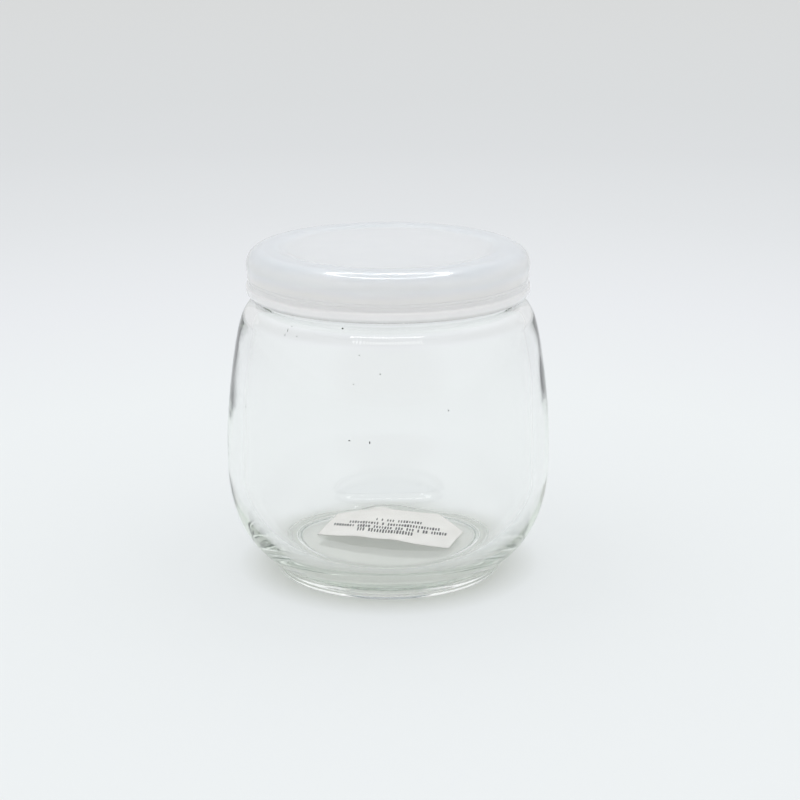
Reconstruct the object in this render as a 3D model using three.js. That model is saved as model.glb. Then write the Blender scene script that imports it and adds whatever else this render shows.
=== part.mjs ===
// A small glass pudding jar with a push-on plastic lid and a paper slip lying inside it.
// Millimetres, +Z up. The origin is the middle of the circle that the jar stands on.
import * as THREE from "three";

// Driving dimensions of the whole
const TOTAL_HEIGHT = 80;
const BELLY_RADIUS = 39.5;
const BELLY_LOW_Z = 29;
const BELLY_HIGH_Z = 31;
const SEGMENTS = 60;
const GAP = 0.3;

// The foot: a low plain ring with a hollow inside it
const FOOT_RADIUS = 28;
const FOOT_HEIGHT = 2.1;
const FOOT_ROUND = 1.1;
const REST_OUTER = 26.6;
const REST_INNER = 25.2;
const HOLLOW_RADIUS = 22.4;
const HOLLOW_DEPTH = 1.8;

// Outside of the glass, from the foot up to the mouth
const CREASE_RADIUS = 27.2;
const SHOULDER_RADIUS = 35.75;
const SHOULDER_Z = 62;
const NECK_RADIUS = 30.8;
const NECK_LOW_Z = 67.3;
const BEAD_LOW_Z = 71;
const BEAD_LOW_RADIUS = 31.4;
const BEAD_RADIUS = 32.3;
const BEAD_TOP_Z = 76.2;

// Inside of the glass
const WALL = 3.8;
const FLOOR_Z = 6;
const FLOOR_RADIUS = 21.5;
const INNER_LOW_Z = 26;
const INNER_SHOULDER_RADIUS = 32.4;
const INNER_SHOULDER_Z = 61.5;
const MOUTH_RADIUS = 28.2;
const LIP_ROUND = 1.9;

// The lid: a dished panel in a round-shouldered rim, with a beaded skirt
const LID_RADIUS = 34.1;
const LID_WALL = 1.1;
const LID_TOP_ROUND = 4.2;
const PANEL_RADIUS = 23.4;
const PANEL_STEP = 4.4;
const PANEL_DROP = 0.5;
const SKIRT_LOW_RADIUS = 33.7;
const FLANGE_RADIUS = 34.15;
const FLANGE_TOP_Z = 71.3;
const FLANGE_LOW_Z = 68.7;
const SNAP_RADIUS = 31.9;
const SNAP_Z = 70.2;

// The paper slip, turned a little in plan
const SLIP_WIDTH = 34.6;
const SLIP_DEPTH = 27.5;
const SLIP_TURN = THREE.MathUtils.degToRad(-18.3);
const SLIP_CORNER = new THREE.Vector2(-17.8, -3);
const SLIP_FLARE = 0.096;
const SLIP_REACH = 20.8;
const SLIP_SHORT_SIDE = 12.9;
const SLIP_CUT_SLOPE = 1.37;
const SLIP_THICKNESS = 0.3;
const SLIP_ARCH = 1.3;
const SLIP_RIPPLE = 0.15;
const SLIP_COLUMNS = 20;
const SLIP_ROWS = 8;

const glass = new THREE.MeshStandardMaterial({ color: 0xdfeae4, roughness: 0.03, metalness: 0 });
const cloudyPlastic = new THREE.MeshStandardMaterial({ color: 0xe0e3ea, roughness: 0.35, metalness: 0 });
const paper = new THREE.MeshStandardMaterial({ color: 0xe9e6e0, roughness: 0.9, metalness: 0 });

// A profile is an open line of stretches, each a line or a curve from radius and height to the next.
function point(radius, z) {
  return new THREE.Vector2(radius, z);
}

function curve(from, firstHandle, secondHandle, to, steps) {
  const bend = new THREE.CubicBezierCurve(from, firstHandle, secondHandle, to);
  return bend.getPoints(steps);
}

function arc(centre, radius, startDegrees, endDegrees, steps) {
  const start = THREE.MathUtils.degToRad(startDegrees);
  const end = THREE.MathUtils.degToRad(endDegrees);
  const clockwise = end < start;
  const bend = new THREE.EllipseCurve(centre.x, centre.y, radius, radius, start, end, clockwise, 0);
  return bend.getPoints(steps);
}

// Joins the stretches, drops doubled points and spins the line about the upright axis.
function turned(stretches) {
  const profile = [];
  for (const next of stretches.flat()) {
    const last = profile[profile.length - 1];
    if (!last || last.distanceTo(next) > 0.02) profile.push(next);
  }
  const geometry = new THREE.LatheGeometry(profile, SEGMENTS);
  geometry.rotateX(Math.PI / 2);
  return geometry;
}

// The jar is one closed line: under the base, up the outside, over the lip and down the inside.
function jarGeometry() {
  const hollow = [
    point(0, HOLLOW_DEPTH),
    point(HOLLOW_RADIUS / 2, HOLLOW_DEPTH),
    ...curve(
      point(HOLLOW_RADIUS, HOLLOW_DEPTH),
      point(HOLLOW_RADIUS + 1.2, HOLLOW_DEPTH),
      point(REST_INNER - 0.9, 0),
      point(REST_INNER, 0),
      4,
    ),
  ];
  const foot = [
    point(REST_OUTER, 0),
    ...curve(
      point(REST_OUTER, 0),
      point(FOOT_RADIUS - FOOT_ROUND / 3, 0),
      point(FOOT_RADIUS, FOOT_ROUND / 3),
      point(FOOT_RADIUS, FOOT_ROUND),
      3,
    ),
    ...curve(
      point(FOOT_RADIUS - 0.12, FOOT_HEIGHT - 0.9),
      point(FOOT_RADIUS - 0.15, FOOT_HEIGHT - 0.3),
      point(CREASE_RADIUS + 0.3, FOOT_HEIGHT - 0.15),
      point(CREASE_RADIUS, FOOT_HEIGHT),
      2,
    ),
  ];
  const heel = curve(
    point(CREASE_RADIUS + 0.2, FOOT_HEIGHT + 0.1),
    point(CREASE_RADIUS + 13.2, FOOT_HEIGHT + 6.6),
    point(BELLY_RADIUS, BELLY_LOW_Z - 2.5),
    point(BELLY_RADIUS, BELLY_LOW_Z),
    11,
  );
  const upperWall = curve(
    point(BELLY_RADIUS, BELLY_HIGH_Z),
    point(BELLY_RADIUS, BELLY_HIGH_Z + 9.5),
    point(SHOULDER_RADIUS + 1.55, SHOULDER_Z - 5.1),
    point(SHOULDER_RADIUS, SHOULDER_Z),
    6,
  );
  const shoulder = curve(
    point(SHOULDER_RADIUS, SHOULDER_Z),
    point(SHOULDER_RADIUS - 0.85, SHOULDER_Z + 3),
    point(NECK_RADIUS + 2.8, NECK_LOW_Z - 0.2),
    point(NECK_RADIUS + 0.3, NECK_LOW_Z),
    6,
  );
  const neck = [
    point(NECK_RADIUS, NECK_LOW_Z + 0.6),
    point(NECK_RADIUS, BEAD_LOW_Z),
    point(BEAD_LOW_RADIUS, BEAD_LOW_Z + 0.6),
    point(BEAD_RADIUS, BEAD_TOP_Z),
  ];
  const lipTop = TOTAL_HEIGHT - PANEL_DROP - LID_WALL - GAP;
  const lip = [
    ...curve(
      point(BEAD_RADIUS, BEAD_TOP_Z),
      point(BEAD_RADIUS, lipTop - 0.4),
      point(BEAD_RADIUS - 0.9, lipTop),
      point(BEAD_RADIUS - LIP_ROUND, lipTop),
      3,
    ),
    ...curve(
      point(MOUTH_RADIUS + LIP_ROUND / 2, lipTop),
      point(MOUTH_RADIUS + LIP_ROUND / 5, lipTop),
      point(MOUTH_RADIUS, lipTop - 0.4),
      point(MOUTH_RADIUS, lipTop - LIP_ROUND),
      3,
    ),
  ];
  const innerShoulder = curve(
    point(MOUTH_RADIUS, NECK_LOW_Z + 1.5),
    point(MOUTH_RADIUS, NECK_LOW_Z - 2.2),
    point(INNER_SHOULDER_RADIUS - 0.6, INNER_SHOULDER_Z + 2.8),
    point(INNER_SHOULDER_RADIUS, INNER_SHOULDER_Z),
    6,
  );
  const innerWall = curve(
    point(INNER_SHOULDER_RADIUS, INNER_SHOULDER_Z),
    point(INNER_SHOULDER_RADIUS + 1.9, INNER_SHOULDER_Z - 8),
    point(BELLY_RADIUS - WALL, BELLY_HIGH_Z + 9),
    point(BELLY_RADIUS - WALL, BELLY_HIGH_Z),
    6,
  );
  const innerHeel = curve(
    point(BELLY_RADIUS - WALL, INNER_LOW_Z),
    point(BELLY_RADIUS - WALL, INNER_LOW_Z - 12),
    point(FLOOR_RADIUS + 7.5, FLOOR_Z),
    point(FLOOR_RADIUS, FLOOR_Z),
    9,
  );
  const floor = [point(FLOOR_RADIUS / 2, FLOOR_Z), point(0, FLOOR_Z)];
  return turned([hollow, foot, heel, upperWall, shoulder, neck, lip, innerShoulder, innerWall, innerHeel, floor]);
}

// The lid's line runs under the panel, down inside the skirt, round its edge and back over the top.
function lidGeometry() {
  const under = TOTAL_HEIGHT - PANEL_DROP - LID_WALL;
  const innerRadius = LID_RADIUS - LID_WALL;
  const inside = [
    point(0, under),
    point(PANEL_RADIUS, under),
    ...curve(
      point(innerRadius - 2.2, under),
      point(innerRadius - 0.8, under),
      point(innerRadius, under - 0.8),
      point(innerRadius, under - 2.4),
      3,
    ),
    point(SKIRT_LOW_RADIUS - LID_WALL, SNAP_Z + 1.3),
    point(SNAP_RADIUS, SNAP_Z + 0.4),
    point(SNAP_RADIUS, SNAP_Z - 0.4),
    point(SKIRT_LOW_RADIUS - LID_WALL, FLANGE_LOW_Z),
  ];
  const flange = [
    point(SKIRT_LOW_RADIUS - 0.2, FLANGE_LOW_Z),
    point(FLANGE_RADIUS, FLANGE_LOW_Z + 0.9),
    point(FLANGE_RADIUS, FLANGE_TOP_Z - 0.4),
    point(SKIRT_LOW_RADIUS, FLANGE_TOP_Z),
  ];
  const skirt = [point(SKIRT_LOW_RADIUS, FLANGE_TOP_Z + 0.3), point(LID_RADIUS, TOTAL_HEIGHT - LID_TOP_ROUND)];
  const rimCentre = point(LID_RADIUS - LID_TOP_ROUND, TOTAL_HEIGHT - LID_TOP_ROUND);
  const rim = arc(rimCentre, LID_TOP_ROUND, 0, 90, 6);
  const step = curve(
    point(PANEL_RADIUS + PANEL_STEP, TOTAL_HEIGHT),
    point(PANEL_RADIUS + PANEL_STEP / 2, TOTAL_HEIGHT),
    point(PANEL_RADIUS + PANEL_STEP / 2, TOTAL_HEIGHT - PANEL_DROP),
    point(PANEL_RADIUS, TOTAL_HEIGHT - PANEL_DROP),
    4,
  );
  const panel = [point(0, TOTAL_HEIGHT - PANEL_DROP)];
  return turned([inside, flange, skirt, rim, step, panel]);
}

const SLIP_OUTWARDS = new THREE.Vector2(Math.cos(SLIP_TURN), Math.sin(SLIP_TURN));
const SLIP_INWARDS = new THREE.Vector2(-SLIP_OUTWARDS.y, SLIP_OUTWARDS.x);

// The slip's side edges aren't quite parallel: its left one leans out.
function slipBackwards(along) {
  const lean = SLIP_FLARE * (1 - along / SLIP_WIDTH);
  return SLIP_INWARDS.clone().addScaledVector(SLIP_OUTWARDS, -lean);
}

// How far back the slip reaches at a place along its front edge: its own depth, the round
// of the floor, or the corner that is cut off at its far right.
function slipDepthAt(along) {
  const start = SLIP_CORNER.clone().addScaledVector(SLIP_OUTWARDS, along);
  const back = slipBackwards(along);
  const across = start.dot(back);
  const left = SLIP_REACH ** 2 - start.lengthSq();
  const toRound = (-across + Math.sqrt(across * across + back.lengthSq() * left)) / back.lengthSq();
  const toCut = SLIP_SHORT_SIDE + (SLIP_WIDTH - along) * SLIP_CUT_SLOPE;
  return Math.min(SLIP_DEPTH, toRound, toCut);
}

// The slip lies on the floor and arches up along its front edge.
function slipLift(along, back) {
  const share = along / SLIP_WIDTH;
  const arch = Math.sin(Math.PI * Math.min(1, share / 0.95)) * (1 - 0.1 * share);
  const ripple = Math.sin((Math.PI * 2 * (share - 0.2125)) / 0.31) * Math.sin(Math.PI * share);
  const settle = 1 - 0.8 * Math.min(1, back / SLIP_DEPTH);
  return Math.max(0, (SLIP_ARCH * arch + SLIP_RIPPLE * ripple) * settle);
}

// Two like grids, one above the other, joined round their edge.
function slipGeometry() {
  const columns = SLIP_COLUMNS + 1;
  const rows = SLIP_ROWS + 1;
  const positions = [];
  for (const height of [0, SLIP_THICKNESS]) {
    for (let row = 0; row < rows; row += 1) {
      for (let column = 0; column < columns; column += 1) {
        const along = (SLIP_WIDTH * column) / SLIP_COLUMNS;
        const back = (slipDepthAt(along) * row) / SLIP_ROWS;
        const place = SLIP_CORNER.clone().addScaledVector(SLIP_OUTWARDS, along);
        place.addScaledVector(slipBackwards(along), back);
        positions.push(place.x, place.y, FLOOR_Z + GAP + slipLift(along, back) + height);
      }
    }
  }
  const top = rows * columns;
  const faces = [];
  for (let row = 0; row < SLIP_ROWS; row += 1) {
    for (let column = 0; column < SLIP_COLUMNS; column += 1) {
      const near = row * columns + column;
      const far = near + columns;
      faces.push(near, far, near + 1, near + 1, far, far + 1);
      faces.push(top + near, top + near + 1, top + far, top + near + 1, top + far + 1, top + far);
    }
  }
  const wall = (first, second) => faces.push(first, second, top + first, second, top + second, top + first);
  for (let column = 0; column < SLIP_COLUMNS; column += 1) {
    wall(column, column + 1);
    wall(SLIP_ROWS * columns + column + 1, SLIP_ROWS * columns + column);
  }
  for (let row = 0; row < SLIP_ROWS; row += 1) {
    wall((row + 1) * columns, row * columns);
    wall(row * columns + SLIP_COLUMNS, (row + 1) * columns + SLIP_COLUMNS);
  }
  const geometry = new THREE.BufferGeometry();
  geometry.setAttribute("position", new THREE.Float32BufferAttribute(positions, 3));
  geometry.setIndex(faces);
  geometry.computeVertexNormals();
  return geometry;
}

function named(name, geometry, material) {
  const mesh = new THREE.Mesh(geometry, material);
  mesh.name = name;
  return mesh;
}

const jarWithLid = new THREE.Group();
jarWithLid.add(named("jar", jarGeometry(), glass));
jarWithLid.add(named("lid", lidGeometry(), cloudyPlastic));
jarWithLid.add(named("label", slipGeometry(), paper));

export default jarWithLid;
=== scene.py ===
# %% [markdown]
# # A small glass jar with a push-on lid
# This notebook dresses the construction model of a dessert jar: clear pressed glass, a lid of
# translucent white plastic and a slip of paper that lies on the glass floor inside. The
# construction model comes in as a fixed frame. It is right in its sizes but faceted, and glass
# shows every facet, so each of its three pieces is made again here as a fine smooth mesh in the
# same place.

# %% Load the construction model
import math
import bpy
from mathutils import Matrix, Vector


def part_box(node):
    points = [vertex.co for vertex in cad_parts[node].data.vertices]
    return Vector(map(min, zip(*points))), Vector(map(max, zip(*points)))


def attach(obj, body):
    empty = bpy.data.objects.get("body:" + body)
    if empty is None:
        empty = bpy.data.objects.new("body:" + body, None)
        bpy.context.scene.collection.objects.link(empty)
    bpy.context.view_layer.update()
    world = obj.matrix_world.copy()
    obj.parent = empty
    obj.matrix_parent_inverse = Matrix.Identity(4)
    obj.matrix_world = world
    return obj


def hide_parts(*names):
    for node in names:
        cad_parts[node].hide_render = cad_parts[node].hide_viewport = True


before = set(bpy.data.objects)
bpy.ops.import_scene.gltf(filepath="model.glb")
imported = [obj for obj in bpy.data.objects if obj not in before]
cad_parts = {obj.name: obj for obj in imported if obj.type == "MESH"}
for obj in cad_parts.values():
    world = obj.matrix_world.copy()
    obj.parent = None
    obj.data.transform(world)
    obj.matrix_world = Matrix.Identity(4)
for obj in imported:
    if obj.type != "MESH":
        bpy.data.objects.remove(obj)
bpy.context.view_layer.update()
print("nodes in the frame:", sorted(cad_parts))

# %% [markdown]
# ## Sizes
# The sizes repeat the construction model's. They are written in millimetres because that is how
# a jar is drawn, and one helper turns them into metres. The frame gives the heights that the
# pieces have to meet.

# %% Sizes in millimetres
MM = 0.001
TOTAL_HEIGHT = 80
GAP = 0.3

BELLY_RADIUS = 39.5
BELLY_LOW_Z, BELLY_HIGH_Z = 29, 31
FOOT_RADIUS, FOOT_HEIGHT, FOOT_ROUND = 28.0, 2.1, 1.1
REST_OUTER, REST_INNER = 26.6, 25.2
HOLLOW_RADIUS, HOLLOW_DEPTH = 22.4, 1.8
CREASE_RADIUS = 27.2
SHOULDER_RADIUS, SHOULDER_Z = 35.75, 62
NECK_RADIUS, NECK_LOW_Z = 30.8, 67.3
BEAD_LOW_Z, BEAD_LOW_RADIUS = 71, 31.4
BEAD_RADIUS, BEAD_TOP_Z = 32.3, 76.2
WALL = 3.8
FLOOR_Z, FLOOR_RADIUS = 6, 21.5
INNER_LOW_Z = 26
INNER_SHOULDER_RADIUS, INNER_SHOULDER_Z = 32.4, 61.5
MOUTH_RADIUS, LIP_ROUND = 28.2, 1.9

LID_RADIUS, LID_WALL, LID_TOP_ROUND = 34.1, 1.1, 4.2
PANEL_RADIUS, PANEL_STEP, PANEL_DROP = 23.4, 4.4, 0.5
SKIRT_LOW_RADIUS = 33.7
FLANGE_RADIUS, FLANGE_TOP_Z, FLANGE_LOW_Z = 34.15, 71.3, 68.7
SNAP_RADIUS, SNAP_Z = 31.9, 70.2

SLIP_WIDTH, SLIP_DEPTH = 34.6, 27.5
SLIP_TURN = math.radians(-18.3)
SLIP_CORNER = (-17.8, -3.0)
SLIP_FLARE = 0.096
SLIP_REACH = 20.8
SLIP_SHORT_SIDE, SLIP_CUT_SLOPE = 12.9, 1.37
SLIP_THICKNESS = 0.3
SLIP_ARCH, SLIP_RIPPLE = 1.3, 0.15

for name in ("jar", "lid", "label"):
    low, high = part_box(name)
    low, high = ([round(value / MM, 1) for value in end] for end in (low, high))
    print(name, "reaches from", low, "to", high, "mm")

# %% [markdown]
# ## The outline of a turned piece
# Half of a jar's section is one line. It can be drawn as a Bezier curve object, but plain Python
# curves keep every size a named number. Each stretch is a cubic curve or a corner, and the
# corners get a small round of their own, because no moulded edge is truly sharp and the round is
# what catches the light.

# %% Curves and rounded corners
def bezier(start, first, second, end, steps):
    places = []
    for step in range(steps + 1):
        t = step / steps
        weights = ((1 - t) ** 3, 3 * (1 - t) ** 2 * t, 3 * (1 - t) * t * t, t ** 3)
        places.append(tuple(sum(w * p[axis] for w, p in zip(weights, (start, first, second, end)))
                            for axis in (0, 1)))
    return places


def arc(centre, radius, start, end, steps):
    turns = (math.radians(start + (end - start) * step / steps) for step in range(steps + 1))
    return [(centre[0] + radius * math.cos(turn), centre[1] + radius * math.sin(turn)) for turn in turns]


def straight(start, end, spacing):
    steps = max(1, math.ceil(math.dist(start, end) / spacing))
    return [tuple(a + (b - a) * step / steps for a, b in zip(start, end)) for step in range(steps + 1)]


def corner(before, at, after, size, steps=4):
    """Rounds the corner at a point, as far as size along both of its sides."""
    legs = []
    for other in (before, after):
        share = min(0.45, size / math.dist(at, other))
        legs.append(tuple(a + (o - a) * share for a, o in zip(at, other)))
    return bezier(legs[0], at, at, legs[1], steps)


def outline(stretches):
    """Joins stretches into one line in metres, without doubled points."""
    line = []
    for place in (place for stretch in stretches for place in stretch):
        if not line or math.dist(line[-1], place) > 0.01:
            line.append(place)
    return [Vector((radius * MM, 0, z * MM)) for radius, z in line]


# %% [markdown]
# ## Turning the outline with Geometry Nodes
# A jar is a turned shape: one rule, the outline spun about the upright axis. The Screw modifier
# and the Spin tool can do it. A node tree was chosen because its sizes stay named inputs, and
# because it can also give the inner wall the slight waviness of pressed glass. The tree lays out
# a grid, looks up the outline's point for each row, turns each column to its own angle, and
# merges the seam and the poles.

# %% The turning tree
WAVE_SCALE, WAVE_DETAIL, WAVE_RISE = 1.6, 1.0, 30.0
CALM_PER_METRE = 60.0
MERGE_WITHIN = 0.000002


def link(tree, source, target):
    tree.links.new(source, target)


def new_input(tree, name, kind, value=None):
    socket = tree.interface.new_socket(name, in_out="INPUT", socket_type=kind)
    if value is not None:
        socket.default_value = value
    return socket.identifier


def maths(tree, operation, first, second=None):
    node = tree.nodes.new("ShaderNodeMath")
    node.operation = operation
    for place, value in enumerate((first, second)):
        if isinstance(value, (int, float)):
            node.inputs[place].default_value = value
        elif value is not None:
            link(tree, value, node.inputs[place])
    return node.outputs[0]


def turning_tree():
    tree = bpy.data.node_groups.new("turn_outline", "GeometryNodeTree")
    sockets = {
        "Outline": new_input(tree, "Outline", "NodeSocketGeometry"),
        "Columns": new_input(tree, "Columns", "NodeSocketInt", 240),
        "Waviness": new_input(tree, "Waviness", "NodeSocketFloat", 0.0),
        "Wavy From": new_input(tree, "Wavy From", "NodeSocketInt", 0),
        "Seed": new_input(tree, "Seed", "NodeSocketFloat", 0.0),
        "Finish": new_input(tree, "Finish", "NodeSocketMaterial"),
    }
    tree.interface.new_socket("Geometry", in_out="OUTPUT", socket_type="NodeSocketGeometry")
    inputs = tree.nodes.new("NodeGroupInput").outputs
    count = tree.nodes.new("GeometryNodeAttributeDomainSize")
    link(tree, inputs["Outline"], count.inputs["Geometry"])
    rows = count.outputs["Point Count"]

    grid = tree.nodes.new("GeometryNodeMeshGrid")
    link(tree, maths(tree, "ADD", inputs["Columns"], 1), grid.inputs["Vertices X"])
    link(tree, rows, grid.inputs["Vertices Y"])
    index = tree.nodes.new("GeometryNodeInputIndex").outputs[0]
    row = maths(tree, "MODULO", index, rows)
    column = maths(tree, "FLOOR", maths(tree, "DIVIDE", maths(tree, "ADD", index, 0.5), rows))

    place = tree.nodes.new("GeometryNodeSampleIndex")
    place.data_type = "FLOAT_VECTOR"
    link(tree, inputs["Outline"], place.inputs["Geometry"])
    link(tree, tree.nodes.new("GeometryNodeInputPosition").outputs[0], place.inputs["Value"])
    link(tree, row, place.inputs["Index"])
    parts = tree.nodes.new("ShaderNodeSeparateXYZ")
    link(tree, place.outputs[0], parts.inputs[0])
    angle = maths(tree, "MULTIPLY", maths(tree, "DIVIDE", column, inputs["Columns"]), math.tau)
    cosine = maths(tree, "COSINE", angle)
    sine = maths(tree, "SINE", angle)

    direction = tree.nodes.new("ShaderNodeCombineXYZ")
    link(tree, cosine, direction.inputs["X"])
    link(tree, sine, direction.inputs["Y"])
    link(tree, maths(tree, "MULTIPLY", parts.outputs["Z"], WAVE_RISE), direction.inputs["Z"])
    noise = tree.nodes.new("ShaderNodeTexNoise")
    noise.noise_dimensions = "4D"
    noise.inputs["Scale"].default_value = WAVE_SCALE
    noise.inputs["Detail"].default_value = WAVE_DETAIL
    link(tree, direction.outputs[0], noise.inputs["Vector"])
    link(tree, inputs["Seed"], noise.inputs["W"])
    swing = maths(tree, "MULTIPLY", maths(tree, "SUBTRACT", noise.outputs[0], 0.5), inputs["Waviness"])
    wavy = maths(tree, "GREATER_THAN", row, inputs["Wavy From"])
    calm_axis = maths(tree, "MINIMUM", maths(tree, "MULTIPLY", parts.outputs["X"], CALM_PER_METRE), 1.0)
    push = maths(tree, "MULTIPLY", maths(tree, "MULTIPLY", swing, wavy), calm_axis)
    radius = maths(tree, "ADD", parts.outputs["X"], push)

    turned = tree.nodes.new("ShaderNodeCombineXYZ")
    link(tree, maths(tree, "MULTIPLY", radius, cosine), turned.inputs["X"])
    link(tree, maths(tree, "MULTIPLY", radius, sine), turned.inputs["Y"])
    link(tree, parts.outputs["Z"], turned.inputs["Z"])
    moved = tree.nodes.new("GeometryNodeSetPosition")
    link(tree, grid.outputs["Mesh"], moved.inputs["Geometry"])
    link(tree, turned.outputs[0], moved.inputs["Position"])
    merged = tree.nodes.new("GeometryNodeMergeByDistance")
    merged.inputs["Distance"].default_value = MERGE_WITHIN
    link(tree, moved.outputs[0], merged.inputs["Geometry"])
    smooth = tree.nodes.new("GeometryNodeSetShadeSmooth")
    link(tree, merged.outputs[0], smooth.inputs["Geometry"])
    real = tree.nodes.new("GeometryNodeRealizeInstances")
    link(tree, smooth.outputs[0], real.inputs["Geometry"])
    finish = tree.nodes.new("GeometryNodeSetMaterial")
    link(tree, real.outputs[0], finish.inputs["Geometry"])
    link(tree, inputs["Finish"], finish.inputs["Material"])
    result = tree.nodes.new("NodeGroupOutput")
    link(tree, finish.outputs[0], result.inputs[0])
    return tree, sockets


def baked(name, start_mesh, tree, sockets, values):
    """Runs a node tree on a start mesh and keeps the result as a plain mesh object."""
    start = bpy.data.objects.new(name + "_start", start_mesh)
    bpy.context.collection.objects.link(start)
    modifier = start.modifiers.new("nodes", "NODES")
    modifier.node_group = tree
    for label, value in values.items():
        modifier[sockets[label]] = value
    evaluated = start.evaluated_get(bpy.context.evaluated_depsgraph_get())
    mesh = bpy.data.meshes.new_from_object(evaluated)
    mesh.name = name
    bpy.data.objects.remove(start)
    piece = bpy.data.objects.new(name, mesh)
    bpy.context.collection.objects.link(piece)
    print(name, "has", len(mesh.polygons), "faces")
    return piece


turn_tree, turn_sockets = turning_tree()
print("the turning tree has", len(turn_tree.nodes), "nodes")


def turned_piece(name, line, finish, columns, waviness=0.0, wavy_from=0, seed=0.0):
    start_mesh = bpy.data.meshes.new(name + "_outline")
    start_mesh.from_pydata(line, [(n, n + 1) for n in range(len(line) - 1)], [])
    shape = {"Columns": columns, "Waviness": waviness, "Wavy From": wavy_from, "Seed": seed}
    return baked(name, start_mesh, turn_tree, turn_sockets, {**shape, "Finish": finish})


# %% [markdown]
# ## Handling marks, a shared effect
# Glass and plastic that have been in hands are never evenly glossy. One node group gives both a
# faint cloudiness of roughness and a height for a gentle bump. It puts out values only, and each
# material sets its own amounts.

# %% The handling marks group
SMUDGE_DETAIL, SMUDGE_LOW, SMUDGE_HIGH = 4, 0.42, 0.68


def handling_marks():
    group = bpy.data.node_groups.new("handling_marks", "ShaderNodeTree")
    group.interface.new_socket("Smudge Scale", in_out="INPUT", socket_type="NodeSocketFloat")
    group.interface.new_socket("Least", in_out="INPUT", socket_type="NodeSocketFloat")
    group.interface.new_socket("Most", in_out="INPUT", socket_type="NodeSocketFloat")
    group.interface.new_socket("Roughness", in_out="OUTPUT", socket_type="NodeSocketFloat")
    group.interface.new_socket("Height", in_out="OUTPUT", socket_type="NodeSocketFloat")
    inputs = group.nodes.new("NodeGroupInput").outputs
    coordinates = group.nodes.new("ShaderNodeTexCoord").outputs["Object"]
    smudge = group.nodes.new("ShaderNodeTexNoise")
    smudge.inputs["Detail"].default_value = SMUDGE_DETAIL
    link(group, coordinates, smudge.inputs["Vector"])
    link(group, inputs["Smudge Scale"], smudge.inputs["Scale"])
    spread = group.nodes.new("ShaderNodeMapRange")
    spread.inputs["From Min"].default_value = SMUDGE_LOW
    spread.inputs["From Max"].default_value = SMUDGE_HIGH
    link(group, smudge.outputs[0], spread.inputs["Value"])
    link(group, inputs["Least"], spread.inputs["To Min"])
    link(group, inputs["Most"], spread.inputs["To Max"])
    result = group.nodes.new("NodeGroupOutput")
    link(group, spread.outputs[0], result.inputs["Roughness"])
    link(group, smudge.outputs[0], result.inputs["Height"])
    return group


marks_group = handling_marks()
print("the marks group has", len(marks_group.nodes), "nodes")


def place_marks(tree, scale, least, most):
    node = tree.nodes.new("ShaderNodeGroup")
    node.node_tree = marks_group
    node.inputs["Smudge Scale"].default_value = scale
    node.inputs["Least"].default_value = least
    node.inputs["Most"].default_value = most
    return node


def bump(tree, height, strength, distance):
    node = tree.nodes.new("ShaderNodeBump")
    node.inputs["Strength"].default_value = strength
    node.inputs["Distance"].default_value = distance
    link(tree, height, node.inputs["Height"])
    return node.outputs["Normal"]


def smooth_rise(tree, source, low, high):
    """Goes softly from 0 at low to 1 at high."""
    spread = tree.nodes.new("ShaderNodeMapRange")
    spread.interpolation_type = "SMOOTHSTEP"
    spread.inputs["From Min"].default_value = low
    spread.inputs["From Max"].default_value = high
    link(tree, source, spread.inputs["Value"])
    return spread.outputs[0]


def blend(tree, share, first, second):
    mix = tree.nodes.new("ShaderNodeMix")
    mix.data_type = "RGBA"
    link(tree, share, mix.inputs["Factor"])
    for socket, value in (("A", first), ("B", second)):
        if isinstance(value, tuple):
            mix.inputs[socket].default_value = value
        else:
            link(tree, value, mix.inputs[socket])
    return mix.outputs["Result"]


def new_material(name):
    material = bpy.data.materials.new(name)
    material.use_nodes = True
    tree = material.node_tree
    return material, tree, tree.nodes["Principled BSDF"]


# %% [markdown]
# ## Clear glass
# Soda glass is clear in a thin wall and green in a thick one, because iron takes a little of the
# red away on every millimetre. So the tint is a volume absorption inside a closed solid, and not a
# surface colour: the wall stays clear and the heel and base turn green by themselves.

# %% Glass
GLASS_IOR = 1.52
GLASS_TINT, GLASS_DENSITY = (0.40, 0.56, 0.38, 1), 5.5


def clear_glass():
    material, tree, surface = new_material("clear_glass")
    marks = place_marks(tree, 55, 0.0, 0.03)
    surface.inputs["Base Color"].default_value = (1, 1, 1, 1)
    surface.inputs["Metallic"].default_value = 0
    surface.inputs["IOR"].default_value = GLASS_IOR
    surface.inputs["Transmission Weight"].default_value = 1
    link(tree, marks.outputs["Roughness"], surface.inputs["Roughness"])
    link(tree, bump(tree, marks.outputs["Height"], 0.03, 0.0004), surface.inputs["Normal"])
    tint = tree.nodes.new("ShaderNodeVolumeAbsorption")
    tint.inputs["Color"].default_value = GLASS_TINT
    tint.inputs["Density"].default_value = GLASS_DENSITY
    link(tree, tint.outputs[0], tree.nodes["Material Output"].inputs["Volume"])
    return material


glass = clear_glass()
print("glass with an index of", GLASS_IOR)

# %% [markdown]
# ## The jar
# The jar's wall is one closed line: under the base, up the outside, over the lip and down the
# inside. The thick heel between the foot and the belly bends what is seen through it most, so its
# inner and outer curves carry many points.

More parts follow.
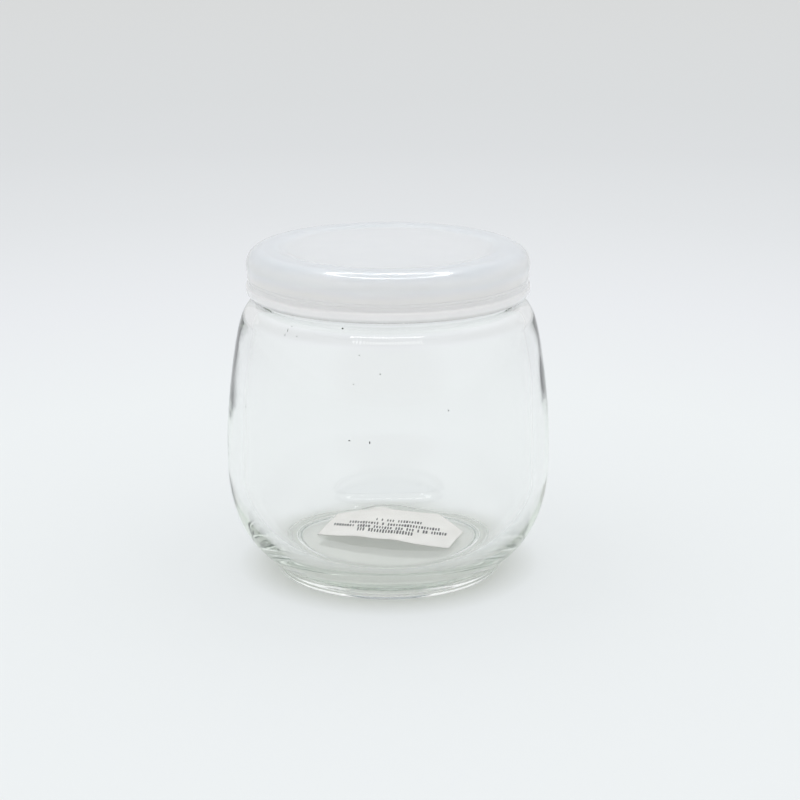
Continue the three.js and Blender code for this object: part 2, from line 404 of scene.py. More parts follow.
# %% The jar's outline and mesh
def jar_outline():
    lip_top = TOTAL_HEIGHT - PANEL_DROP - LID_WALL - GAP
    under = [
        straight((0, HOLLOW_DEPTH), (HOLLOW_RADIUS - 1, HOLLOW_DEPTH), 2.5),
        bezier((HOLLOW_RADIUS, HOLLOW_DEPTH), (HOLLOW_RADIUS + 1.2, HOLLOW_DEPTH),
               (REST_INNER - 0.9, 0), (REST_INNER, 0), 12),
        straight((REST_INNER, 0), (REST_OUTER, 0), 0.7),
        bezier((REST_OUTER, 0), (FOOT_RADIUS - FOOT_ROUND / 3, 0), (FOOT_RADIUS, FOOT_ROUND / 3),
               (FOOT_RADIUS, FOOT_ROUND), 8),
    ]
    neck_top = (NECK_RADIUS, BEAD_LOW_Z)
    bead_low = (BEAD_LOW_RADIUS, BEAD_LOW_Z + 0.6)
    bead_top = (BEAD_RADIUS, BEAD_TOP_Z)
    heel_start = (CREASE_RADIUS + 0.2, FOOT_HEIGHT + 0.1)
    heel_aim = (CREASE_RADIUS + 13.2, FOOT_HEIGHT + 6.6)
    foot_top = (FOOT_RADIUS - 0.12, FOOT_HEIGHT - 0.9)
    outside = [
        bezier(foot_top, (FOOT_RADIUS - 0.15, FOOT_HEIGHT - 0.3), (CREASE_RADIUS + 0.3, FOOT_HEIGHT - 0.15),
               (CREASE_RADIUS + 0.1, FOOT_HEIGHT - 0.08), 8),
        corner((CREASE_RADIUS + 0.1, FOOT_HEIGHT - 0.08), (CREASE_RADIUS, FOOT_HEIGHT), heel_start, 0.1, 4),
        bezier(heel_start, heel_aim,
               (BELLY_RADIUS, BELLY_LOW_Z - 2.5), (BELLY_RADIUS, BELLY_LOW_Z), 48)[1:],
        bezier((BELLY_RADIUS, BELLY_HIGH_Z), (BELLY_RADIUS, BELLY_HIGH_Z + 9.5),
               (SHOULDER_RADIUS + 1.55, SHOULDER_Z - 5.1), (SHOULDER_RADIUS, SHOULDER_Z), 22),
        bezier((SHOULDER_RADIUS, SHOULDER_Z), (SHOULDER_RADIUS - 0.85, SHOULDER_Z + 3),
               (NECK_RADIUS + 2.8, NECK_LOW_Z - 0.2), (NECK_RADIUS + 0.3, NECK_LOW_Z), 18),
        bezier((NECK_RADIUS + 0.3, NECK_LOW_Z), (NECK_RADIUS + 0.1, NECK_LOW_Z + 0.05),
               (NECK_RADIUS, NECK_LOW_Z + 0.2), (NECK_RADIUS, NECK_LOW_Z + 0.6), 5),
        corner((NECK_RADIUS, NECK_LOW_Z + 0.6), neck_top, bead_low, 0.4),
        corner(neck_top, bead_low, bead_top, 0.4),
        straight((BEAD_LOW_RADIUS + 0.1, BEAD_LOW_Z + 1.1), bead_top, 0.8),
    ]
    lip = [
        bezier(bead_top, (BEAD_RADIUS, lip_top - 0.4), (BEAD_RADIUS - 0.9, lip_top),
               (BEAD_RADIUS - LIP_ROUND, lip_top), 9),
        bezier((MOUTH_RADIUS + LIP_ROUND / 2, lip_top), (MOUTH_RADIUS + LIP_ROUND / 5, lip_top),
               (MOUTH_RADIUS, lip_top - 0.4), (MOUTH_RADIUS, lip_top - LIP_ROUND), 8),
        straight((MOUTH_RADIUS, lip_top - LIP_ROUND), (MOUTH_RADIUS, NECK_LOW_Z + 1.5), 1.2),
    ]
    inner_shoulder = (INNER_SHOULDER_RADIUS, INNER_SHOULDER_Z)
    inside = [
        bezier((MOUTH_RADIUS, NECK_LOW_Z + 1.5), (MOUTH_RADIUS, NECK_LOW_Z - 2.2),
               (INNER_SHOULDER_RADIUS - 0.6, INNER_SHOULDER_Z + 2.8), inner_shoulder, 20),
        bezier(inner_shoulder, (INNER_SHOULDER_RADIUS + 1.9, INNER_SHOULDER_Z - 8),
               (BELLY_RADIUS - WALL, BELLY_HIGH_Z + 9), (BELLY_RADIUS - WALL, BELLY_HIGH_Z), 24),
        bezier((BELLY_RADIUS - WALL, INNER_LOW_Z), (BELLY_RADIUS - WALL, INNER_LOW_Z - 12),
               (FLOOR_RADIUS + 7.5, FLOOR_Z), (FLOOR_RADIUS, FLOOR_Z), 40),
        straight((FLOOR_RADIUS - 1, FLOOR_Z), (0, FLOOR_Z), 2.5),
    ]
    return outline(under + outside + lip), outline(under + outside + lip + inside)


JAR_COLUMNS, WALL_WAVINESS, WALL_SEED = 240, 0.0004, 3.0
outer_line, jar_line = jar_outline()
jar_piece = turned_piece("jar_glass", jar_line, glass, JAR_COLUMNS,
                         waviness=WALL_WAVINESS, wavy_from=len(outer_line), seed=WALL_SEED)

# %% [markdown]
# ## Lid plastic
# The lid is soft polyethylene about a millimetre thick. Light scatters inside it, yet the neck
# behind it still shows as a shade. A plain white surface would hide the neck and clear plastic
# would show it sharply, so the material mixes scattering below the surface with a rough
# transmission. Its base colour also carries painted light: the skirt is a painted glow of the
# light that comes through from inside the jar, the band under the round is painted cool light,
# and the darker panel and rim are painted shade.

# %% Plastic
# Painted light in the base colour: shade on the panel and rim, cool light on the band, a glow on the skirt.
PANEL_PAINTED_SHADE = (0.77, 0.815, 0.86, 1)
RIM_PAINTED_SHADE = (0.70, 0.75, 0.80, 1)
BAND_PAINTED_COOL_LIGHT = (0.85, 0.90, 0.95, 1)
SKIRT_PAINTED_GLOW = (1.0, 0.99, 0.93, 1)
PANEL_END, RIM_START = 0.0235, 0.0275
SKIRT_END, BAND_START = 0.0735, 0.0765
SIDE_END, TOP_START = 0.0775, 0.0795
CLOUD_SCALE, CLOUD_DETAIL, CLOUD_SWAY = 45, 3, 0.003
PLASTIC_IOR, SEE_THROUGH = 1.5, 0.12
SCATTER_REACH, COAT_ROUGHNESS = 0.003, 0.08


def lid_plastic():
    material, tree, surface = new_material("lid_plastic")
    marks = place_marks(tree, 90, 0.32, 0.42)
    coordinates = tree.nodes.new("ShaderNodeTexCoord").outputs["Object"]
    cloud = tree.nodes.new("ShaderNodeTexNoise")
    cloud.inputs["Scale"].default_value = CLOUD_SCALE
    cloud.inputs["Detail"].default_value = CLOUD_DETAIL
    link(tree, coordinates, cloud.inputs["Vector"])
    wander = maths(tree, "MULTIPLY", maths(tree, "SUBTRACT", cloud.outputs[0], 0.5), CLOUD_SWAY)
    place = tree.nodes.new("ShaderNodeSeparateXYZ")
    link(tree, coordinates, place.inputs[0])
    from_axis = maths(tree, "SQRT", maths(tree, "ADD", maths(tree, "POWER", place.outputs["X"], 2),
                                          maths(tree, "POWER", place.outputs["Y"], 2)))

    outwards = maths(tree, "ADD", from_axis, wander)
    upwards = maths(tree, "ADD", place.outputs["Z"], wander)
    # The base colour paints light by region: a painted glow on the skirt, painted cool light on the band,
    # painted shade on the panel and rim.
    top = blend(tree, smooth_rise(tree, outwards, PANEL_END, RIM_START), PANEL_PAINTED_SHADE, RIM_PAINTED_SHADE)
    side = blend(tree, smooth_rise(tree, upwards, SKIRT_END, BAND_START), SKIRT_PAINTED_GLOW, BAND_PAINTED_COOL_LIGHT)
    tone = blend(tree, smooth_rise(tree, upwards, SIDE_END, TOP_START), side, top)
    link(tree, tone, surface.inputs["Base Color"])
    link(tree, marks.outputs["Roughness"], surface.inputs["Roughness"])
    surface.inputs["Metallic"].default_value = 0
    surface.inputs["IOR"].default_value = PLASTIC_IOR
    surface.inputs["Transmission Weight"].default_value = SEE_THROUGH
    surface.inputs["Subsurface Weight"].default_value = 1
    surface.inputs["Subsurface Radius"].default_value = (1, 1, 1)
    surface.inputs["Subsurface Scale"].default_value = SCATTER_REACH
    surface.inputs["Coat Weight"].default_value = 1
    surface.inputs["Coat Roughness"].default_value = COAT_ROUGHNESS
    link(tree, bump(tree, marks.outputs["Height"], 0.04, 0.0002), surface.inputs["Normal"])
    return material


plastic = lid_plastic()
# The printed colours are the skirt's painted glow and the panel's painted shade.
print("the plastic goes from", SKIRT_PAINTED_GLOW[:3], "on the skirt to", PANEL_PAINTED_SHADE[:3], "on the panel")

# %% [markdown]
# ## The lid
# The lid is turned too. Its panel lies a little lower than the rim round it, the rim rolls over
# into the skirt, and the skirt ends in a thicker band. Inside that band a small bead snaps under
# the glass.

# %% The lid's outline and mesh
GROOVES = (72.3, 73.07)
GROOVE_HALF, GROOVE_DEPTH = 0.16, 0.09


def skirt_at(z):
    """The skirt widens a little from its band up to the rim."""
    low_z, high_z = FLANGE_TOP_Z + 0.6, TOTAL_HEIGHT - LID_TOP_ROUND
    return (SKIRT_LOW_RADIUS + 0.02 + (LID_RADIUS - SKIRT_LOW_RADIUS) * (z - low_z) / (high_z - low_z), z)


def groove(z):
    steps = [z + GROOVE_HALF * step / 3 for step in range(-3, 4)]
    depths = [GROOVE_DEPTH * (0.5 + 0.5 * math.cos(math.pi * step / 3)) for step in range(-3, 4)]
    return [(skirt_at(height)[0] - depth, height) for height, depth in zip(steps, depths)]


def lid_outline():
    under = TOTAL_HEIGHT - PANEL_DROP - LID_WALL
    inner = LID_RADIUS - LID_WALL
    skirt_inner = (SKIRT_LOW_RADIUS - LID_WALL, SNAP_Z + 1.3)
    snap_top, snap_low = (SNAP_RADIUS, SNAP_Z + 0.4), (SNAP_RADIUS, SNAP_Z - 0.4)
    inside = [
        straight((0, under), (inner - 2.2, under), 2.5),
        bezier((inner - 2.2, under), (inner - 0.8, under), (inner, under - 0.8), (inner, under - 2.4), 8),
        straight((inner, under - 2.4), skirt_inner, 1),
        corner((inner, under - 2.4), skirt_inner, snap_top, 0.4)[1:],
        bezier(snap_top, (SNAP_RADIUS - 0.05, SNAP_Z + 0.1), (SNAP_RADIUS - 0.05, SNAP_Z - 0.1),
               snap_low, 5),
        corner(snap_low, (SKIRT_LOW_RADIUS - LID_WALL, FLANGE_LOW_Z),
               (SKIRT_LOW_RADIUS - 0.2, FLANGE_LOW_Z), 0.25),
    ]
    edge_low = (SKIRT_LOW_RADIUS - 0.2, FLANGE_LOW_Z)
    edge_side = (FLANGE_RADIUS, FLANGE_LOW_Z + 0.9)
    band_top = (FLANGE_RADIUS, FLANGE_TOP_Z - 0.4)
    band_end = (SKIRT_LOW_RADIUS, FLANGE_TOP_Z)
    skirt_low = (SKIRT_LOW_RADIUS + 0.02, FLANGE_TOP_Z + 0.6)
    rim_centre = (LID_RADIUS - LID_TOP_ROUND, TOTAL_HEIGHT - LID_TOP_ROUND)
    outside = [
        corner((SKIRT_LOW_RADIUS - LID_WALL, FLANGE_LOW_Z), edge_low, edge_side, 0.3),
        corner(edge_low, edge_side, band_top, 0.5),
        corner(edge_side, band_top, band_end, 0.25),
        corner(band_top, band_end, skirt_low, 0.25),
        straight(skirt_low, skirt_at(GROOVES[0] - 2 * GROOVE_HALF), 0.8),
        *(groove(z) for z in GROOVES),
        straight(skirt_at(GROOVES[-1] + 2 * GROOVE_HALF), (LID_RADIUS, TOTAL_HEIGHT - LID_TOP_ROUND), 0.8),
        arc(rim_centre, LID_TOP_ROUND, 0, 90, 40),
        bezier((PANEL_RADIUS + PANEL_STEP, TOTAL_HEIGHT), (PANEL_RADIUS + PANEL_STEP / 2, TOTAL_HEIGHT),
               (PANEL_RADIUS + PANEL_STEP / 2, TOTAL_HEIGHT - PANEL_DROP),
               (PANEL_RADIUS, TOTAL_HEIGHT - PANEL_DROP), 28),
        straight((PANEL_RADIUS - 1, TOTAL_HEIGHT - PANEL_DROP), (0, TOTAL_HEIGHT - PANEL_DROP), 2.5),
    ]
    return outline(inside + outside)


LID_COLUMNS = 240
lid_piece = turned_piece("lid_shell", lid_outline(), plastic, LID_COLUMNS)

# %% [markdown]
# ## The slip of paper
# The slip is a thin sheet that has dried a little wavy: it arches up along its front edge and
# lies flat behind. Cloth simulation would give a softer drape than paper has, so the sheet is a
# grid whose height is a formula, with its thickness from two like layers.

# %% The slip's surface
ARCH_END, ARCH_DROP = 0.95, 0.1
RIPPLE_START, RIPPLE_LENGTH = 0.2125, 0.31
SETTLE = 0.8
SLIP_OUT = Vector((math.cos(SLIP_TURN), math.sin(SLIP_TURN)))
SLIP_IN = Vector((-SLIP_OUT.y, SLIP_OUT.x))


def slip_back_at(along):
    """The way back from the front edge: the left side edge leans out a little."""
    return SLIP_IN - SLIP_OUT * SLIP_FLARE * (1 - along / SLIP_WIDTH)


def slip_depth_at(along):
    start = Vector(SLIP_CORNER) + SLIP_OUT * along
    back = slip_back_at(along)
    across = start.dot(back)
    left = SLIP_REACH ** 2 - start.length_squared
    to_round = (-across + math.sqrt(across ** 2 + back.length_squared * left)) / back.length_squared
    to_cut = SLIP_SHORT_SIDE + (SLIP_WIDTH - along) * SLIP_CUT_SLOPE
    return min(SLIP_DEPTH, to_round, to_cut)


def slip_lift(along, back):
    share = along / SLIP_WIDTH
    arch = math.sin(math.pi * min(1, share / ARCH_END)) * (1 - ARCH_DROP * share)
    ripple = math.sin(math.tau * (share - RIPPLE_START) / RIPPLE_LENGTH) * math.sin(math.pi * share)
    settle = 1 - SETTLE * min(1, back / SLIP_DEPTH)
    return max(0, (SLIP_ARCH * arch + SLIP_RIPPLE * ripple) * settle)


def on_slip(along, back, above=0.0):
    """A place on the slip's upper face, in metres."""
    flat = Vector(SLIP_CORNER) + SLIP_OUT * along + slip_back_at(along) * back
    return Vector((flat.x, flat.y, FLOOR_Z + GAP + SLIP_THICKNESS + slip_lift(along, back) + above)) * MM


def slip_piece(finish, columns=90, rows=50):
    places = []
    faces = []
    for below in (SLIP_THICKNESS, 0):
        for row in range(rows + 1):
            for column in range(columns + 1):
                along = SLIP_WIDTH * column / columns
                places.append(on_slip(along, slip_depth_at(along) * row / rows, -below))
    wide = columns + 1
    top = wide * (rows + 1)
    for row in range(rows):
        for column in range(columns):
            near = row * wide + column
            faces.append((near, near + wide, near + wide + 1, near + 1))
            faces.append((top + near, top + near + 1, top + near + wide + 1, top + near + wide))
    edge = [*range(columns), *(row * wide + columns for row in range(rows)),
            *(rows * wide + column for column in range(columns, 0, -1)),
            *(row * wide for row in range(rows, 0, -1))]
    faces += [(a, b, top + b, top + a) for a, b in zip(edge, edge[1:] + edge[:1])]
    mesh = bpy.data.meshes.new("paper_slip")
    mesh.from_pydata(places, [], faces)
    mesh.materials.append(finish)
    piece = bpy.data.objects.new("paper_slip", mesh)
    bpy.context.collection.objects.link(piece)
    print("paper_slip has", len(mesh.polygons), "faces")
    return piece


# %% [markdown]
# ## Paper and ink
# Uncoated paper is dull and slightly uneven in tone, with fibres that show as a fine grain when
# light grazes it. Two noises do it, a broad one for the tone and a fine one for the grain.

# %% Paper and ink
BLOTCH_SCALE, BLOTCH_DETAIL = 160, 5
FIBRE_SCALE, FIBRE_DETAIL = 2400, 2
FIBRE_STRENGTH, FIBRE_HEIGHT = 0.25, 0.00004


def paper_finish(name, dark, light, roughness):
    material, tree, surface = new_material(name)
    coordinates = tree.nodes.new("ShaderNodeTexCoord").outputs["Object"]
    tone = tree.nodes.new("ShaderNodeTexNoise")
    tone.inputs["Scale"].default_value = BLOTCH_SCALE
    tone.inputs["Detail"].default_value = BLOTCH_DETAIL
    link(tree, coordinates, tone.inputs["Vector"])
    colours = tree.nodes.new("ShaderNodeValToRGB")
    colours.color_ramp.elements[0].position = 0.3
    colours.color_ramp.elements[0].color = dark
    colours.color_ramp.elements[1].position = 0.7
    colours.color_ramp.elements[1].color = light
    link(tree, tone.outputs[0], colours.inputs[0])
    link(tree, colours.outputs[0], surface.inputs["Base Color"])
    fibre = tree.nodes.new("ShaderNodeTexNoise")
    fibre.inputs["Scale"].default_value = FIBRE_SCALE
    fibre.inputs["Detail"].default_value = FIBRE_DETAIL
    link(tree, coordinates, fibre.inputs["Vector"])
    grain_bump = bump(tree, fibre.outputs[0], FIBRE_STRENGTH, FIBRE_HEIGHT)
    link(tree, grain_bump, surface.inputs["Normal"])
    surface.inputs["Metallic"].default_value = 0
    surface.inputs["Roughness"].default_value = roughness
    return material


paper = paper_finish("slip_paper", (0.86, 0.85, 0.82, 1), (0.93, 0.92, 0.89, 1), 0.85)
ink = paper_finish("slip_ink", (0.04, 0.04, 0.045, 1), (0.10, 0.10, 0.105, 1), 0.7)
slip = slip_piece(paper)
for polygon in slip.data.polygons:
    polygon.use_smooth = True

# %% [markdown]
# ## Printed rows
# The slip carries four rows of print, set with their heads towards the viewer's side. They are
# no words here: each is a row of small slanted bars with gaps of uneven length. Bars repeat
# along a row, so a node tree does the work: it takes one line for each row, puts a thin closed
# bar at even steps along it, and leaves some out. Each line follows the paper's own surface.

# %% The row tree
BAR_LEAN = math.radians(14)


def enabled(sockets, name):
    return next(socket for socket in sockets if socket.enabled and socket.name == name)


def random_value(tree, kind, seed, **limits):
    node = tree.nodes.new("FunctionNodeRandomValue")
    node.data_type = kind
    for name, value in limits.items():
        enabled(node.inputs, name).default_value = value
    link(tree, maths(tree, "ADD", seed, float(len(tree.nodes))), enabled(node.inputs, "Seed"))
    return enabled(node.outputs, "Value")


def row_tree():
    tree = bpy.data.node_groups.new("bars_along_rows", "GeometryNodeTree")
    sockets = {
        "Rows": new_input(tree, "Rows", "NodeSocketGeometry"),
        "Pitch": new_input(tree, "Pitch", "NodeSocketFloat", 0.0007),
        "Bar Width": new_input(tree, "Bar Width", "NodeSocketFloat", 0.0004),
        "Bar Thickness": new_input(tree, "Bar Thickness", "NodeSocketFloat", 0.0001),
        "Filled": new_input(tree, "Filled", "NodeSocketFloat", 0.86),
        "Seed": new_input(tree, "Seed", "NodeSocketInt", 7),
        "Finish": new_input(tree, "Finish", "NodeSocketMaterial"),
    }
    tree.interface.new_socket("Geometry", in_out="OUTPUT", socket_type="NodeSocketGeometry")
    inputs = tree.nodes.new("NodeGroupInput").outputs
    curve = tree.nodes.new("GeometryNodeMeshToCurve")
    link(tree, inputs["Rows"], curve.inputs["Mesh"])
    steps = tree.nodes.new("GeometryNodeResampleCurve")
    steps.mode = "LENGTH"
    link(tree, curve.outputs[0], steps.inputs["Curve"])
    link(tree, inputs["Pitch"], steps.inputs["Length"])

    bar = tree.nodes.new("GeometryNodeMeshCube")
    size = tree.nodes.new("ShaderNodeCombineXYZ")
    link(tree, inputs["Bar Width"], size.inputs["X"])
    size.inputs["Y"].default_value = 1
    link(tree, inputs["Bar Thickness"], size.inputs["Z"])
    link(tree, size.outputs[0], bar.inputs["Size"])

    along = tree.nodes.new("FunctionNodeAlignRotationToVector")
    along.axis = "X"
    link(tree, tree.nodes.new("GeometryNodeInputTangent").outputs[0], along.inputs["Vector"])
    lean = tree.nodes.new("FunctionNodeRotateRotation")
    lean.rotation_space = "LOCAL"
    lean.inputs["Rotate By"].default_value = (0, 0, BAR_LEAN)
    link(tree, along.outputs[0], lean.inputs["Rotation"])

    height = tree.nodes.new("GeometryNodeInputNamedAttribute")
    height.data_type = "FLOAT"
    height.inputs["Name"].default_value = "bar_height"
    stretch = tree.nodes.new("ShaderNodeCombineXYZ")
    link(tree, random_value(tree, "FLOAT", inputs["Seed"], Min=0.7, Max=1.25), stretch.inputs["X"])
    shorter = random_value(tree, "FLOAT", inputs["Seed"], Min=0.75, Max=1.1)
    link(tree, maths(tree, "MULTIPLY", height.outputs[0], shorter), stretch.inputs["Y"])
    stretch.inputs["Z"].default_value = 1
    draw = random_value(tree, "FLOAT", inputs["Seed"], Min=0.0, Max=1.0)
    keep = maths(tree, "LESS_THAN", draw, inputs["Filled"])

    placed = tree.nodes.new("GeometryNodeInstanceOnPoints")
    link(tree, steps.outputs[0], placed.inputs["Points"])
    link(tree, keep, placed.inputs["Selection"])
    link(tree, bar.outputs["Mesh"], placed.inputs["Instance"])
    link(tree, lean.outputs[0], placed.inputs["Rotation"])
    link(tree, stretch.outputs[0], placed.inputs["Scale"])
    real = tree.nodes.new("GeometryNodeRealizeInstances")
    link(tree, placed.outputs[0], real.inputs["Geometry"])
    finish = tree.nodes.new("GeometryNodeSetMaterial")
    link(tree, real.outputs[0], finish.inputs["Geometry"])
    link(tree, inputs["Finish"], finish.inputs["Material"])
    result = tree.nodes.new("NodeGroupOutput")
    link(tree, finish.outputs[0], result.inputs[0])
    return tree, sockets


# %% Bars of print
PRINT_ROWS = (
    # start along the slip, end, distance back from the front edge, height of the bars
    (9.0, 22.9, 5.0, 2.9),
    (1.9, 30.7, 8.6, 2.1),
    (5.2, 28.0, 11.9, 2.1),
    (11.2, 22.4, 15.7, 2.0),
)
LINE_POINTS = 60
BAR_PITCH, BAR_WIDTH, BAR_THICKNESS = 0.72 * MM, 0.4 * MM, 0.1 * MM
ROW_FILLED, ROW_SEED = 0.87, 7
ABOVE_PAPER = 0.03


def print_bars(finish):
    places = []
    edges = []
    heights = []
    for start, end, back, height in PRINT_ROWS:
        for step in range(LINE_POINTS):
            along = start + (end - start) * step / (LINE_POINTS - 1)
            if step:
                edges.append((len(places) - 1, len(places)))
            places.append(on_slip(along, back + height / 2, ABOVE_PAPER))
            heights.append(height * MM)
    lines = bpy.data.meshes.new("print_lines")
    lines.from_pydata(places, edges, [])
    lines.attributes.new("bar_height", "FLOAT", "POINT").data.foreach_set("value", heights)
    tree, sockets = row_tree()
    sizes = {"Pitch": BAR_PITCH, "Bar Width": BAR_WIDTH, "Bar Thickness": BAR_THICKNESS}
    values = {**sizes, "Filled": ROW_FILLED, "Seed": ROW_SEED, "Finish": finish}
    return baked("print_bars", lines, tree, sockets, values)


bars = print_bars(ink)

# %% [markdown]
# ## Seeds in the glass
# Pressed glass holds small trapped bubbles and grains, which glassmakers call seeds. They show
# as dark dots and short strokes. Each is a tiny stretched ball inside the wall, a little below
# the outer face, where the turned outline says the face is.

# %% Seeds
SEEDS = (
    # turn round the axis in degrees, height in mm, width and height of the seed in mm
    (-108.3, 66.9, 0.55, 0.50),
    (-68.5, 49.0, 0.32, 0.32),
    (-95.9, 42.4, 0.30, 0.75),
    (-102.9, 42.6, 0.60, 0.26),
    (-131.9, 65.2, 0.16, 0.95),
    (-132.6, 64.1, 0.15, 0.70),
    (-130.9, 66.1, 0.24, 0.24),
    (-126.6, 64.4, 0.28, 0.26),
    (-100.2, 61.8, 0.24, 0.24),
    (-92.5, 57.8, 0.28, 0.28),
    (-101.9, 55.4, 0.24, 0.24),
    (-150.4, 45.2, 0.32, 0.32),
)
SEED_DEPTH, SEED_SIDES = 0.5, 8


def seed_balls(finish):
    places = []
    faces = []
    for turn, z, wide, tall in SEEDS:
        nearest = min(outer_line, key=lambda place: abs(place.z - z * MM))
        reach = nearest.x / MM - SEED_DEPTH
        outwards = Vector((math.cos(math.radians(turn)), math.sin(math.radians(turn)), 0))
        sideways = Vector((-outwards.y, outwards.x, 0))
        first = len(places)
        for row in range(1, 4):
            tilt = math.pi * row / 4
            for column in range(SEED_SIDES):
                spin = math.tau * column / SEED_SIDES
                across = sideways * math.cos(spin) * wide / 2
                across += outwards * math.sin(spin) * min(wide, tall) / 2
                upright = Vector((0, 0, z + math.cos(tilt) * tall / 2))
                places.append((outwards * reach + across * math.sin(tilt) + upright) * MM)
        for end in (1, -1):
            places.append((outwards * reach + Vector((0, 0, z + end * tall / 2))) * MM)
        upper, lower = len(places) - 2, len(places) - 1
        last = first + 2 * SEED_SIDES
        for column in range(SEED_SIDES):
            after = (column + 1) % SEED_SIDES
            faces.append((upper, first + after, first + column))
            faces.append((lower, last + column, last + after))
            for ring in (first, first + SEED_SIDES):
                below = ring + SEED_SIDES
                faces.append((ring + column, ring + after, below + after, below + column))
    mesh = bpy.data.meshes.new("glass_seeds")
    mesh.from_pydata(places, [], faces)
    mesh.materials.append(finish)
    mesh.shade_smooth()
    piece = bpy.data.objects.new("glass_seeds", mesh)
    bpy.context.collection.objects.link(piece)
    print("glass_seeds has", len(SEEDS), "seeds")
    return piece


grain = paper_finish("seed_grain", (0.10, 0.11, 0.10, 1), (0.22, 0.23, 0.22, 1), 0.6)
seeds = seed_balls(grain)

# %% [markdown]
# ## The floor
# The jar stands on a pale sweep that gets a little darker with distance, a painted falloff of
# light. One plain disc would do if the room lit it evenly, but clear glass shows every tone of
# what lies behind it, so the disc carries its tones itself: part of them as its own glow, part as
# paint that takes light and shadow. Close to the foot it is darker, as the glass takes some of the
# light there: a painted contact shadow rings the foot.

# %% Floor
FLOOR_GLOW, FLOOR_SHARE = 0.51, 0.40
NEAR_GLOW, NEAR_SHARE = 0.39, 0.58
NEAR_RADIUS, FAR_RADIUS = 0.028, 0.055
FLOOR_PAINTED_FALLOFF_AND_SHADOW = (
    # metres from the jar, red, green, blue
    (0.0, 0.885, 0.920, 0.870),
    (0.024, 0.885, 0.920, 0.870),
    # from here to 0.0325 m the tones dip into a painted contact shadow round the foot
    (0.0272, 0.755, 0.785, 0.745),
    (0.0290, 0.735, 0.765, 0.740),
    (0.0325, 0.880, 0.912, 0.910),
    (0.040, 0.880, 0.912, 0.922),
    (0.16, 0.880, 0.912, 0.922),
    # beyond 0.16 m the tones fall off with distance, a painted pool of light
    (0.29, 0.846, 0.866, 0.890),
    (0.48, 0.780, 0.799, 0.815),
    (0.70, 0.735, 0.752, 0.765),
    (0.93, 0.720, 0.737, 0.745),
    (2.40, 0.705, 0.712, 0.708),
)


def floor_finish():
    material, tree, surface = new_material("floor_white")
    coordinates = tree.nodes.new("ShaderNodeTexCoord").outputs["Object"]
    distance = tree.nodes.new("ShaderNodeVectorMath")
    distance.operation = "LENGTH"
    link(tree, coordinates, distance.inputs[0])
    fade = tree.nodes.new("ShaderNodeValToRGB")
    ramp = fade.color_ramp
    reach = FLOOR_PAINTED_FALLOFF_AND_SHADOW[-1][0]
    for away, red, green, blue in FLOOR_PAINTED_FALLOFF_AND_SHADOW:
        at_end = away in (0, reach)
        stop = ramp.elements[0 if away == 0 else -1] if at_end else ramp.elements.new(away / reach)
        stop.color = (red, green, blue, 1)
    link(tree, maths(tree, "DIVIDE", distance.outputs["Value"], reach), fade.inputs[0])
    for near, far, socket in ((NEAR_SHARE, FLOOR_SHARE, "Base Color"),
                              (NEAR_GLOW, FLOOR_GLOW, "Emission Color")):
        share = tree.nodes.new("ShaderNodeMapRange")
        share.interpolation_type = "SMOOTHSTEP"
        share.inputs["From Min"].default_value = NEAR_RADIUS
        share.inputs["From Max"].default_value = FAR_RADIUS
        share.inputs["To Min"].default_value = near
        share.inputs["To Max"].default_value = far
        link(tree, distance.outputs["Value"], share.inputs["Value"])
        dim = tree.nodes.new("ShaderNodeMix")
        dim.data_type = "RGBA"
        dim.blend_type = "MULTIPLY"
        dim.inputs["Factor"].default_value = 1
        link(tree, fade.outputs[0], dim.inputs["A"])
        link(tree, share.outputs[0], dim.inputs["B"])
        link(tree, dim.outputs["Result"], surface.inputs[socket])
    surface.inputs["Emission Strength"].default_value = 1
    surface.inputs["Roughness"].default_value = 1
    surface.inputs["Specular IOR Level"].default_value = 0
    return material


TABLE_RADIUS, TABLE_SIDES = 6, 96
bpy.ops.mesh.primitive_circle_add(vertices=TABLE_SIDES, radius=TABLE_RADIUS,
                                  fill_type="NGON", location=(0, 0, 0))
floor = bpy.context.object
floor.name = "floor"
floor.data.materials.append(floor_finish())
print("the floor has", len(FLOOR_PAINTED_FALLOFF_AND_SHADOW), "tones")

# %% [markdown]
# ## The room
# Area lamps all round would light the jar well but show as hard squares in the glass. The world
# itself is the soft light here: pale walls, a brighter ceiling and a dimmer side behind the
# viewer, which gives the glass its grey edges.

# %% The room's light
world = bpy.data.worlds.new("soft_room")
bpy.context.scene.world = world
world.use_nodes = True
room = world.node_tree
sky = room.nodes["Background"]
direction = room.nodes.new("ShaderNodeTexCoord").outputs["Generated"]
split = room.nodes.new("ShaderNodeSeparateXYZ")
link(room, direction, split.inputs[0])
WALL_TONE = (0.80, 0.81, 0.825, 1)
CEILING_TONE = (1.07, 1.075, 1.08, 1)
FRONT_TONE = (0.56, 0.52, 0.51, 1)
CEILING_FROM, CEILING_TO = 0.15, 0.6
FRONT_FROM, FRONT_TO = 0.62, 0.92
ceiling_share = smooth_rise(room, split.outputs["Z"], CEILING_FROM, CEILING_TO)
room_tone = blend(room, ceiling_share, WALL_TONE, CEILING_TONE)
towards_viewer = maths(room, "MULTIPLY", split.outputs["Y"], -1)
front_share = smooth_rise(room, towards_viewer, FRONT_FROM, FRONT_TO)
link(room, blend(room, front_share, room_tone, FRONT_TONE), sky.inputs["Color"])
sky.inputs["Strength"].default_value = 1.0
print("the room's walls are", WALL_TONE[:3], "and its front is", FRONT_TONE[:3])

# %% [markdown]
# ## Lamps for the bright lines
# Thin white lines on the lid's round edge and on the glass are mirror pictures of lamps. A ring
# of small flat lamps overhead gives them. The lamps are kept off matt surfaces, so they draw
# lines and add no light.

